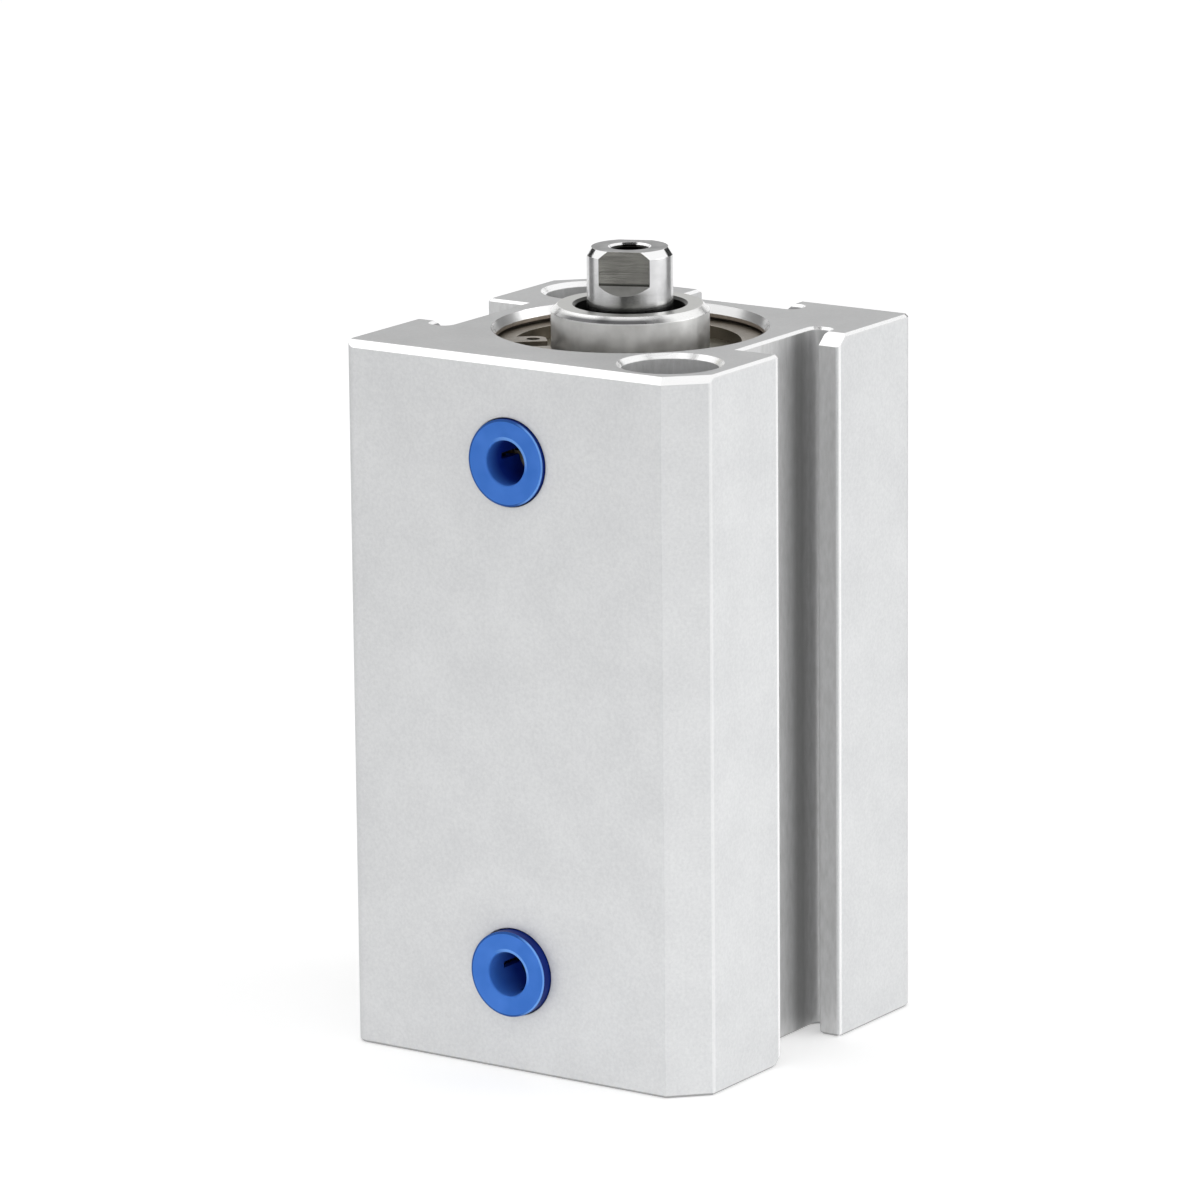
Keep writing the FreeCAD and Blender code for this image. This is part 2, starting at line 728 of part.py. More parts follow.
def piston_rear_half():
    """Carries the wear ring, and the nut in a recess of its rear face."""
    outer = "piston_radius"
    spigot = "spigot_diameter/2 + fit_clearance"
    land = "piston_base + wear_groove_land"
    return turned("piston_rear_half", [
        (spigot, "nut_seat"),
        ("nut_recess", "nut_seat"),
        ("nut_recess", "piston_base"),
        ("bumper_inner", "piston_base"),
        ("bumper_inner", "piston_base + bumper_groove"),
        ("bumper_outer", "piston_base + bumper_groove"),
        ("bumper_outer", "piston_base"),
        (outer + " - cover_edge", "piston_base"),
        (outer, "piston_base + cover_edge"),
        (outer, land),
        ("wear_floor", land),
        ("wear_floor", land + " + wear_groove_width"),
        (outer, land + " + wear_groove_width"),
        (outer, "magnet_base"),
        (spigot, "magnet_base"),
    ])


def piston_seal():
    """Double-acting lip seal with a notch round its outside."""
    inner = "seal_floor + run_clearance"
    outer = "bore_diameter/2 - run_clearance"
    base = "magnet_top + seal_groove_land + side_clearance"
    top = "magnet_top + seal_groove_land + seal_groove_width - side_clearance"
    middle = "magnet_top + seal_groove_land + seal_groove_width/2"
    return turned("piston_seal", [
        (inner, base),
        (outer + " - seal_lip", base),
        (outer, base + " + seal_lip"),
        (outer, middle + " - seal_lip"),
        (outer + " - seal_notch", middle),
        (outer, middle + " + seal_lip"),
        (outer, top + " - seal_lip"),
        (outer + " - seal_lip", top),
        (inner, top),
    ])


def wear_ring():
    """Split guide ring."""
    inner = "wear_floor + run_clearance"
    outer = "bore_diameter/2 - run_clearance"
    base = "piston_base + wear_groove_land + side_clearance"
    top = "piston_base + wear_groove_land + wear_groove_width - side_clearance"
    body = turned("wear_ring", [(inner, base), (outer, base), (outer, top), (inner, top)])
    split = new_sketch(body, "wear_ring_split_line", "XY_Plane")
    polygon(split, [
        ("-wear_ring_split/2", "0"),
        ("wear_ring_split/2", "0"),
        ("wear_ring_split/2", "bore_diameter"),
        ("-wear_ring_split/2", "bore_diameter"),
    ])
    cut(body, "Pocket", split, reverse=True, through=True)
    return body


def magnet_ring():
    inner = "magnet_hub/2 + fit_clearance"
    base = "magnet_base + fit_clearance"
    top = "magnet_top - fit_clearance"
    return turned("magnet_ring", [
        (inner, base), ("magnet_radius", base), ("magnet_radius", top), (inner, top)])


def bumper(label, base, top):
    return soft_ring(label, "bumper_inner + fit_clearance", "bumper_outer - fit_clearance",
                     base, top, "bumper_chamfer")


def piston_nut():
    """Thin hexagon nut on the rod's spigot."""
    body = new_body("piston_nut")
    hexagon = new_sketch(body, "nut_outline", "XY_Plane")
    polygon(hexagon, [(f"nut_corner*cos({turn})", f"nut_corner*sin({turn})")
                      for turn in range(30, 390, 60)])
    circle(hexagon, ("0", "0"), "spigot_diameter + 2*fit_clearance")
    add(body, "Pad", hexagon, Length="nut_height")
    place(body, z="nut_base")
    return body


def at_port(body, height, proud="0"):
    """Lay a fitting piece in its port, with its own +Z pointing out of the barrel."""
    outwards = FreeCAD.Rotation(FreeCAD.Vector(1, 0, 0), 90)
    body.Placement = FreeCAD.Placement(FreeCAD.Vector(), outwards)
    place(body, "-port_offset", f"-half_width - {proud}", height)


def slots(body, name, width, inner, outer, from_depth, to_depth):
    """Four slots through the wall of a sleeve or ring, a quarter turn apart."""
    half_slot = width + "/2"
    cross = new_sketch(body, name, "XY_Plane", f"-({from_depth})")
    for turned_over in (False, True):
        for sign in ("", "-"):
            near_end = f"{sign}({inner})"
            far_end = f"{sign}({outer})"
            bar = [
                (near_end, "-" + half_slot),
                (far_end, "-" + half_slot),
                (far_end, half_slot),
                (near_end, half_slot),
            ]
            polygon(cross, [(y, x) for x, y in bar] if turned_over else bar)
    cut(body, "Pocket", cross, Length=f"{to_depth} - ({from_depth})")


def release_sleeve(label, height, proud):
    """Button that is pushed in to let the tube go. Its slotted shank snaps into the guide."""
    inner = "tube_bore/2"
    body = turned(label, [
        (inner, "0"),
        ("sleeve_diameter/2", "0"),
        ("sleeve_diameter/2", "-sleeve_head"),
        ("sleeve_shank/2", "-sleeve_head"),
        ("sleeve_shank/2", "-barb_start"),
        ("sleeve_barb/2", "-barb_start"),
        ("sleeve_shank/2", "-sleeve_length"),
        (inner, "-sleeve_length"),
    ])
    break_edges(body, "Fillet", "sleeve_rim_round", round_at("sleeve_diameter/2", "0"))
    break_edges(body, "Fillet", "sleeve_mouth_round", round_at(inner, "0"))
    slots(body, label + "_slots", "sleeve_slot", "tube_diameter/4", "sleeve_barb/2 + cut_margin",
          "guide_face", "sleeve_length + cut_margin")
    at_port(body, height, proud)
    return body


def port_guide(label, height):
    """Metal guide pressed into the port. Its lip holds the sleeve's barb."""
    outer = "port_bore/2 - fit_clearance"
    narrow = "sleeve_shank/2 + run_clearance"
    wide = "sleeve_barb/2 + side_clearance"
    body = turned(label, [
        (narrow, "-guide_face"),
        (outer, "-guide_face"),
        (outer, "-guide_end"),
        (wide, "-guide_end"),
        (wide, "-guide_stop"),
        (narrow, "-guide_stop"),
    ])
    at_port(body, height)
    return body


def grab_ring(label, height):
    """Dished spring ring whose teeth grip the tube."""
    outer = "port_bore/2 - fit_clearance"
    tips = "tube_bore/2"
    body = turned(label, [
        (outer, "-guide_end"),
        ("grab_rim/2", "-guide_end"),
        (tips, "-guide_end - grab_dish"),
        (tips, "-grab_end - grab_dish"),
        ("grab_rim/2", "-grab_end"),
        (outer, "-grab_end"),
    ])
    slots(body, label + "_slots", "grab_slot", "tube_diameter/4", "grab_rim/2", "guide_end - cut_margin",
          "grab_end + grab_dish + cut_margin")
    at_port(body, height)
    return body


def tube_seal(label, height):
    base = "-tube_seal_end + fit_clearance"
    body = soft_ring(label, "tube_bore/2", "tube_seal_diameter/2 - fit_clearance",
                     base, base + " + tube_seal_thickness", "tube_seal_chamfer")
    at_port(body, height)
    return body


pieces = [
    barrel(),
    front_cover(),
    cover_o_ring("front_cover_o_ring", "front_seat + flange_thickness/2"),
    retaining_ring("front_retaining_ring", "front_cover_face", "front_ring_turn"),
    rod_bush(),
    rod_seal(),
    rear_cover(),
    cover_o_ring("rear_cover_o_ring", "rear_seat - flange_thickness/2"),
    retaining_ring("rear_retaining_ring", "ring_recess + ring_play", "rear_ring_turn"),
    piston_rod(),
    soft_ring("rod_o_ring", "spigot_diameter/2 + fit_clearance", "rod_o_ring_outer - fit_clearance",
              "rod_shoulder - rod_o_ring_height + fit_clearance", "rod_shoulder - fit_clearance",
              "rod_o_ring_chamfer"),
    piston_front_half(),
    piston_rear_half(),
    piston_seal(),
    wear_ring(),
    magnet_ring(),
    bumper("front_bumper", "piston_top - bumper_groove + fit_clearance", "piston_top + bumper_proud"),
    bumper("rear_bumper", "piston_base - bumper_proud", "piston_base + bumper_groove - fit_clearance"),
    piston_nut(),
]
for end, rest in (("upper", "upper_sleeve_proud"), ("lower", "sleeve_travel")):
    pieces += [
        release_sleeve(end + "_release_sleeve", end + "_port", rest),
        port_guide(end + "_port_guide", end + "_port"),
        grab_ring(end + "_grab_ring", end + "_port"),
        tube_seal(end + "_tube_seal", end + "_port"),
    ]
doc.recompute()

for item in doc.Objects:
    if "Invalid" in item.State or "Error" in item.State:
        raise ValueError(item.Label + " failed")
for piece in pieces:
    if piece.Shape.isNull() or not piece.Shape.isValid() or len(piece.Shape.Solids) != 1:
        raise ValueError(piece.Label + " is not one sound solid")

os.makedirs("parts", exist_ok=True)
for piece in pieces:
    piece.Shape.exportStep(f"parts/{piece.Label}.step")
    print(f"{piece.Label}: {piece.Shape.Volume:.1f} mm3")
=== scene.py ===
import json
import math

import bpy
from mathutils import Matrix, Vector


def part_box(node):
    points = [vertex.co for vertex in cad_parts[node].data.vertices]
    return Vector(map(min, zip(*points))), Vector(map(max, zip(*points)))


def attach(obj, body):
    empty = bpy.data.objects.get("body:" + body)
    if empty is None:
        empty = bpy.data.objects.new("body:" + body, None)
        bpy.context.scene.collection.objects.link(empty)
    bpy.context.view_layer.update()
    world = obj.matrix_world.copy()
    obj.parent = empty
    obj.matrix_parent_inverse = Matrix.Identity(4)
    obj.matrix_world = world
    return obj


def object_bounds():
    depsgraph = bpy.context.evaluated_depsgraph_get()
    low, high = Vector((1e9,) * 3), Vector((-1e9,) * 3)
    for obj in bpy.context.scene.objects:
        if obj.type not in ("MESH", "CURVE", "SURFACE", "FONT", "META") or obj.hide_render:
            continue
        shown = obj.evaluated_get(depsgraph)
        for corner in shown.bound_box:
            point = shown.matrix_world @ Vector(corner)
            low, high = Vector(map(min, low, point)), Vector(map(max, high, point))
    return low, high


# Looks of the compact pneumatic cylinder: finishes of its pieces, the thread in its rod, a pale
# floor, soft light and the camera. Metres, in the frame of the part.

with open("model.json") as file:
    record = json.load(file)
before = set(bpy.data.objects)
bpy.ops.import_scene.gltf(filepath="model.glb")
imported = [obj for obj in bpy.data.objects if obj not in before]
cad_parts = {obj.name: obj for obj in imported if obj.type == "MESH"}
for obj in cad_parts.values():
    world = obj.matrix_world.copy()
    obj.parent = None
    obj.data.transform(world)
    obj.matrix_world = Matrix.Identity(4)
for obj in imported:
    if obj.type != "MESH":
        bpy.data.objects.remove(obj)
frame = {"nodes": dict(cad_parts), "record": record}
cad_low, cad_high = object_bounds()
nodes = frame["nodes"]

MM = 0.001

# Camera, as an orbit about the point that it looks at
CAMERA_AZIMUTH = math.radians(33.874)
CAMERA_ELEVATION = math.radians(13.244)
CAMERA_ROLL = math.radians(-0.534)
CAMERA_DISTANCE = 672.4*MM
CAMERA_CLIP = CAMERA_DISTANCE/100
AIM_ASIDE = -3.035*MM
AIM_HEIGHT = 41.013*MM
LENS = 216.41
SENSOR = 36.0

# Sky and floor
WHITE = (1.0, 1.0, 1.0, 1.0)
SKY_LEVEL = 0.72
FLOOR_PALE = (0.90, 0.90, 0.90, 1.0)
FLOOR_DULL = (0.87, 0.87, 0.87, 1.0)
FLOOR_GLOW = 0.33
FLOOR_SIZE = 6.0
FLOOR_CLOUD = 0.4
FLOOR_DROP = 0.02*MM

# Lamps that light the whole part: place, size and power
LAMPS = {
    "overhead": ((-0.30, -0.12, 0.65), (0.7, 0.5), 0.3),
    "front_right": ((0.55, -0.65, 0.25), (0.5, 0.4), 0.55),
    "back_right": ((0.75, 0.50, 0.25), (0.5, 0.5), 1.9),
}

# Weak lamp near the floor, aimed at the foot of the front's right end
LOW_PLACE = (0.13, -0.24, 0.03)
LOW_SIZE = (0.06, 0.04)
LOW_POWER = 0.0072
LOW_AIM = (0.016, -0.019, 0.008)
LOW_BEAM = math.radians(38)

# Cards that the metal reflects: turn from the camera's side, distance, width, foot, head and tone
CARDS = {
    "front_card": (math.radians(-9), 0.22, 0.13, 0.0, 0.085, 0.11),
    "left_card": (math.radians(-125), 0.25, 0.12, 0.0, 0.06, 0.30),
    "left_top_card": (math.radians(-132), 0.25, 0.18, 0.06, 0.165, 0.02),
    "right_card": (math.radians(127), 0.25, 0.12, 0.0, 0.06, 0.38),
    "right_top_card": (math.radians(133), 0.25, 0.18, 0.06, 0.165, 0.02),
}

# Small dark card over the rod's end: height over it, step to the camera's side, width, depth and tone
OVER_CARD = (0.06, 0.007, 0.075, 0.014, 0.03)

# Paper of the cards: size of its weave, and how far its tone varies
PAPER_WEAVE = 0.01
PAPER_VARIES = 0.2

# Directions on the part, and how squarely a face looks along one to count as level, sloped or a side's edge
UP = (0.0, 0.0, 1.0)
FRONT = (0.0, -1.0, 0.0)
RIGHT = (1.0, 0.0, 0.0)
LEVEL_FACE = 0.97
SLOPED_FACE = 0.2
SIDE_EDGE = 0.74

# Barrel: where its skin, corner flats, groove floors, bores and ring slots begin or end
SKIN_LIMIT = cad_high.x - 0.40*MM
CORNER_LIMIT = 2*cad_high.x - 5.0*MM
GROOVE_FLOOR_LIMIT = 15.0*MM
BORE_LIMIT = 13.4*MM
SLOT_LIMIT = 12.7*MM

# Lines on a grooved side of the barrel, across from its middle toward the groove's hooked edge: where pale
# lines are painted as highlights along its edges, and the painted shade in its groove's floor
STRAIGHT_EDGE = -4.65*MM
HOOK_EDGE = 6.12*MM
CORNER_EDGE = -15.72*MM
CORNER_EDGE_LIMIT = cad_high.x - 0.10*MM
EDGE_HALF = 0.28*MM
HOOK_HALF = 0.18*MM
GROOVE_SHADE = 4.65*MM
GROOVE_SHADE_HALF = 1.2*MM

# Strength of the barrel's faint edge lines painted as highlights, of the painted shade in its grooves and
# on its lower chamfers, of the bare metal in its hollows, and how far the chamfer at the mouth of its bore
# falls short of bare metal
FAINT_HIGHLIGHT = 0.35
GROOVE_SHADE_SHARE = 0.58
UNDER_SHARE = 0.7
GROOVE_METAL = 0.55
SEAT_DULL = 0.45

# Front cover: its sunk face and its mouth, both in painted shade, and the dark line on the chamfer of its
# boss, a painted reflection
RECESS_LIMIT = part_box("barrel")[1].z - 0.5*MM
MOUTH_LIMIT = 6.0*MM
BOSS_RADIUS = 7.35*MM
BOSS_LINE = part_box("front_cover")[1].z - 0.46*MM
BOSS_LINE_HALF = 0.34*MM
BOSS_LINE_TURN = math.radians(14)
BOSS_LINE_FADE = (0.55*BOSS_RADIUS, 0.85*BOSS_RADIUS)

# Rod: its hole, its flats with the dark line at their foot, its foot darkened as a painted reflection and a
# painted dark reflection above that
ROD_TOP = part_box("piston_rod")[1].z
ROD_RADIUS = 4.0*MM
ROD_HOLE = 1.8*MM
RUN_OUT_LIMIT = ROD_TOP - 2.0*MM
FLAT_LIMIT = ROD_RADIUS - 0.03*MM
FLAT_FOOT = ROD_TOP - 3.1*MM
FLAT_FOOT_FADE = (0.04*MM, 0.24*MM)
FOOT_REFLECTION_TOP = ROD_TOP - 4.4*MM
FOOT_REFLECTION_FOOT = ROD_TOP - 6.4*MM
ROD_REFLECTION_TOP = ROD_TOP - 3.3*MM
ROD_REFLECTION_FOOT = ROD_TOP - 3.9*MM
ROD_REFLECTION_TURN = math.radians(26)
ROD_REFLECTION_MIDDLE = 0.5*MM
ROD_REFLECTION_HALF = 2.4*MM

# Sleeves: the middle of the wall, the outer rim, the lip of the bore, and how deep the painted shade in the
# bore reaches
SLEEVES = ("upper_release_sleeve", "lower_release_sleeve")
SLEEVE_MIDDLE = 3.0*MM
SLEEVE_RIM = 3.84*MM
SLEEVE_LIP = 2.42*MM
UPPER_FADE = 2.0*MM
LOWER_FADE = 4.2*MM
FADE_START = 0.05

# How squarely the face, rounded edge, rim and lip of a sleeve look to the front
SLEEVE_FACE_TURN = 0.35
SLEEVE_ROUND_TURN = (0.12, 0.96)
SLEEVE_RIM_TURN = 0.5
SLEEVE_LIP_TURN = 0.3

# How far to the right a sleeve's rim gets lit, and the glint on its lip, toward the right and up
RIM_FADE = (0.3, 0.6)
GLINT_RIGHT = 0.6
GLINT_UP = 0.8
GLINT_FADE = (0.3, 0.8)

# Thread in the end of the rod, with its profile as radius and share of the pitch
THREAD_PITCH = 0.7*MM
THREAD_WALL = 1.66*MM
THREAD_CREST = 1.48*MM
THREAD_TOP = 0.75*MM
THREAD_LENGTH = 7.5*MM
THREAD_STEPS = 40
THREAD_PROFILE = (
    (THREAD_WALL, 0.45),
    (THREAD_CREST, 0.08),
    (THREAD_CREST, -0.08),
    (THREAD_WALL, -0.45),
)


def outward(turn):
    """Level direction away from the axis of the part, turned from its front toward its right."""
    return Vector((math.sin(turn), -math.cos(turn), 0))


def sideways(turn):
    """Level direction square to the outward one, toward larger turns."""
    return Vector((math.cos(turn), math.sin(turn), 0))


def grey(level):
    return (level, level, level, 1.0)


def new_material(name):
    made = bpy.data.materials.new(name)
    made.use_nodes = True
    return made, made.node_tree, made.node_tree.nodes["Principled BSDF"]


def add_node(tree, kind, inputs=None, **settings):
    """A shader node with its settings, and its sockets set or linked."""
    made = tree.nodes.new("ShaderNode" + kind)
    for name, value in settings.items():
        setattr(made, name, value)
    for name, value in (inputs or {}).items():
        if isinstance(value, bpy.types.NodeSocket):
            tree.links.new(value, made.inputs[name])
        else:
            made.inputs[name].default_value = value
    return made


def own_place(tree):
    """Places on the piece itself, in metres, so a finish moves with its piece."""
    return add_node(tree, "TexCoord").outputs["Object"]


def own_coordinates(tree, stretch=(1.0, 1.0, 1.0)):
    """Places on the piece for a grain, whose marks get shorter along an axis that is given more than 1."""
    return add_node(tree, "Mapping", {"Vector": own_place(tree), "Scale": stretch}).outputs["Vector"]


def own_axes(tree):
    return add_node(tree, "SeparateXYZ", {"Vector": own_place(tree)}).outputs


def noise(tree, size, detail=2.0, roughness=0.5, stretch=(1.0, 1.0, 1.0)):
    """Grain whose marks are about one size across, from 0 to 1."""
    return add_node(tree, "TexNoise", {
        "Vector": own_coordinates(tree, stretch),
        "Scale": 1.0/size,
        "Detail": detail,
        "Roughness": roughness,
    }).outputs["Fac"]


def turned_marks(tree, pitch):
    """Rings about the piece's own Z, as a lathe leaves them."""
    return add_node(tree, "TexWave", {
        "Vector": own_coordinates(tree),
        "Scale": 1.0/(pitch*math.tau),
        "Distortion": 0.6,
        "Detail": 2.0,
    }, wave_type="RINGS", rings_direction="Z").outputs["Fac"]


def spread(tree, value, low, high, from_low=0.3, from_high=0.7):
    """A value's range, by default the middle range of a grain, laid over another range."""
    return add_node(tree, "MapRange", {
        "Value": value,
        "From Min": from_low,
        "From Max": from_high,
        "To Min": low,
        "To Max": high,
    }).outputs["Result"]


def share(tree, value, low, high):
    """A share from 0 to 1 laid over a range."""
    return spread(tree, value, low, high, 0.0, 1.0)


def maths(tree, operation, *values):
    return add_node(tree, "Math", dict(enumerate(values)), operation=operation).outputs["Value"]


def plus(tree, first, second):
    return maths(tree, "ADD", first, second)


def less(tree, first, second):
    return maths(tree, "SUBTRACT", first, second)


def times(tree, first, second):
    return maths(tree, "MULTIPLY", first, second)


def either(tree, first, second):
    return maths(tree, "MAXIMUM", first, second)


def size_of(tree, value):
    return maths(tree, "ABSOLUTE", value)


def above(tree, value, limit):
    return maths(tree, "GREATER_THAN", value, limit)


def below(tree, value, limit):
    return maths(tree, "LESS_THAN", value, limit)


def near(tree, value, middle, half):
    """1 at a value, and softly down to 0 beside it."""
    apart = size_of(tree, less(tree, value, middle))
    return spread(tree, apart, 1.0, 0.0, half*0.3, half)


def length(tree, vector):
    return add_node(tree, "VectorMath", {0: vector}, operation="LENGTH").outputs["Value"]


def along(tree, vector, axis):
    return add_node(tree, "VectorMath", {0: vector, 1: axis}, operation="DOT_PRODUCT").outputs["Value"]


def mix_colour(tree, amount, first, second):
    """Between two colours. The node's sockets 0, 6 and 7 are the amount of the second and both colours."""
    return add_node(tree, "Mix", {0: amount, 6: first, 7: second}, data_type="RGBA").outputs[2]


def mottled(tree, grain, dark, light):
    """A colour that varies with a grain."""
    return mix_colour(tree, spread(tree, grain, 0.0, 1.0), dark, light)


def bump(tree, height, depth, normal=None, strength=1.0):
    inputs = {"Height": height, "Distance": depth, "Strength": strength}
    if normal:
        inputs["Normal"] = normal
    return add_node(tree, "Bump", inputs).outputs["Normal"]


def edge_round(tree, radius):
    """Normals that are rounded over sharp edges."""
    return add_node(tree, "Bevel", {"Radius": radius}, samples=6).outputs["Normal"]


def edge_share(tree, rounded):
    """1 on sharp edges and 0 away from them."""
    turn = along(tree, rounded, add_node(tree, "NewGeometry").outputs["Normal"])
    return spread(tree, turn, 1.0, 0.0, 0.90, 0.995)


def facing(tree, axis):
    """How squarely a face of the piece looks along an axis of its own, from -1 to 1."""
    return along(tree, add_node(tree, "TexCoord").outputs["Normal"], axis)


def on_slope(tree, upward):
    """1 on faces that look up at a slope, such as chamfers."""
    return less(tree, above(tree, upward, SLOPED_FACE), above(tree, upward, LEVEL_FACE))


def under_slope(tree, upward):
    """1 on faces that look down at a slope."""
    return less(tree, below(tree, upward, -SLOPED_FACE), below(tree, upward, -LEVEL_FACE))


def distance_out(tree):
    """How far out of the axis of the part a point is."""
    axes = own_axes(tree)
    return length(tree, add_node(tree, "CombineXYZ", {"X": axes["X"], "Y": axes["Y"]}).outputs["Vector"])


def square_out(tree):
    """How far out of the axis of the part a point is along X or Y, whichever is more."""
    axes = own_axes(tree)
    return maths(tree, "MAXIMUM", size_of(tree, axes["X"]), size_of(tree, axes["Y"]))


def on_corner(tree):
    """1 on the flats across the corners of the barrel."""
    axes = own_axes(tree)
    return above(tree, plus(tree, size_of(tree, axes["X"]), size_of(tree, axes["Y"])), CORNER_LIMIT)


def across_side(tree):
    """Place across a side that has a groove, from its middle toward its hooked edge."""
    axes = own_axes(tree)
    return maths(tree, "DIVIDE", times(tree, axes["X"], axes["Y"]), cad_high.x)


def side_edge_highlight(tree):
    """Pale lines painted as highlights: 1 along the edges of the grooves and less along the flat corners,
    on the sides that have a groove.
    """
    across = across_side(tree)
    straight = near(tree, across, STRAIGHT_EDGE, EDGE_HALF)
    hooked = near(tree, across, HOOK_EDGE, HOOK_HALF)
    on_flat_side = above(tree, square_out(tree), CORNER_EDGE_LIMIT)
    corner = times(tree, near(tree, across, CORNER_EDGE, EDGE_HALF), on_flat_side)
    edges = either(tree, either(tree, straight, hooked), times(tree, corner, FAINT_HIGHLIGHT))
    return times(tree, edges, above(tree, own_axes(tree)["Y"], -SKIN_LIMIT))


def link_finish(tree, shader, colour, roughness, normal):
    tree.links.new(colour, shader.inputs["Base Color"])
    tree.links.new(roughness, shader.inputs["Roughness"])
    tree.links.new(normal, shader.inputs["Normal"])


def anodised_aluminium():
    """Blasted and anodised sides, ends darkened as painted shade, plain metal in the grooves and bores with
    painted shade in them and a warm painted reflection in the bores, bright cut edges, and pale edge lines
    painted as highlights.
    """
    made, tree, shader = new_material("anodised_aluminium")
    grain = noise(tree, 0.30*MM, 3.0, 0.6)
    cloud = noise(tree, 5.0*MM, 3.0, 0.55)
    drawn = noise(tree, 0.5*MM, 4.0, 0.65, stretch=(1.0, 1.0, 0.30))
    tone = plus(tree, times(tree, grain, 0.65), times(tree, cloud, 0.35))
    tone = spread(tree, tone, 0.0, 1.0, 0.35, 0.65)
    streaks = spread(tree, drawn, 0.0, 1.0)
    side = mix_colour(tree, tone, (0.640, 0.647, 0.655, 1.0), (0.735, 0.742, 0.747, 1.0))
    # Level end faces darker than the sides: painted shade on faces that look up
    end_shaded = mix_colour(tree, tone, (0.445, 0.447, 0.449, 1.0), (0.530, 0.532, 0.533, 1.0))
    plain = mix_colour(tree, streaks, (0.560, 0.563, 0.560, 1.0), (0.670, 0.670, 0.675, 1.0))
    # Bore walls darker and brownish: painted shade with a warm painted reflection of the ring
    bore_shade_and_reflection = mix_colour(tree, tone, (0.330, 0.285, 0.240, 1.0), (0.440, 0.385, 0.330, 1.0))
    # Ring slots near black: painted shadow
    slot = mix_colour(tree, tone, (0.060, 0.050, 0.040, 1.0), (0.100, 0.085, 0.070, 1.0))

    # Where each finish lies
    upward = facing(tree, UP)
    on_end = above(tree, size_of(tree, upward), LEVEL_FACE)
    sloped = on_slope(tree, upward)
    rounded = edge_round(tree, share(tree, sloped, 0.12*MM, 0.0))
    wide = edge_round(tree, share(tree, sloped, 0.40*MM, 0.0))
    out = distance_out(tree)
    on_skin = either(tree, above(tree, square_out(tree), SKIN_LIMIT), on_corner(tree))
    inside = less(tree, 1.0, either(tree, on_skin, on_end))
    by_side = above(tree, size_of(tree, along(tree, wide, RIGHT)), SIDE_EDGE)
    # Pale lines on the sharp edges of the skin, painted as highlights
    edge_highlight = times(tree, times(tree, edge_share(tree, wide), by_side), FAINT_HIGHLIGHT)
    edge_highlight = times(tree, either(tree, edge_highlight, side_edge_highlight(tree)), on_skin)
    chamfers_and_highlights = either(tree, sloped, edge_highlight)

    # Colour, from the hollows out to the skin and its edges
    on_floor = below(tree, square_out(tree), GROOVE_FLOOR_LIMIT)
    # A dark band down the middle of each groove's floor: painted shade
    shade = times(tree, near(tree, across_side(tree), GROOVE_SHADE, GROOVE_SHADE_HALF), on_floor)
    groove = mix_colour(tree, times(tree, shade, GROOVE_SHADE_SHARE), plain, grey(0.20))
    hollow = mix_colour(tree, above(tree, out, SLOT_LIMIT), bore_shade_and_reflection, slot)
    hollow = mix_colour(tree, below(tree, out, BORE_LIMIT), groove, hollow)
    skin = mix_colour(tree, inside, mix_colour(tree, on_end, side, end_shaded), hollow)
    # Lower chamfers greyed: painted shade
    skin = mix_colour(tree, times(tree, under_slope(tree, upward), UNDER_SHARE), skin, grey(0.36))
    # Chamfers bright as bare metal, and the pale edge lines as painted highlights
    colour = mix_colour(tree, chamfers_and_highlights, skin, grey(0.96))

    # Gloss: chamfers are keen bare metal, only partly so at the mouth of the bore
    matt = less(tree, spread(tree, grain, 0.46, 0.60), times(tree, inside, 0.13))
    keen = spread(tree, cloud, 0.19, 0.26)
    roughness = plus(tree, matt, times(tree, chamfers_and_highlights, less(tree, keen, matt)))
    seat = times(tree, sloped, below(tree, out, BORE_LIMIT))
    metal = either(tree, sloped, times(tree, inside, GROOVE_METAL))
    metal = less(tree, metal, times(tree, seat, SEAT_DULL))
    tree.links.new(share(tree, metal, 0.30, 0.95), shader.inputs["Metallic"])
    blasted = share(tree, chamfers_and_highlights, 1.0, 0.0)
    link_finish(tree, shader, colour, roughness, bump(tree, grain, 0.012*MM, rounded, blasted))
    return made


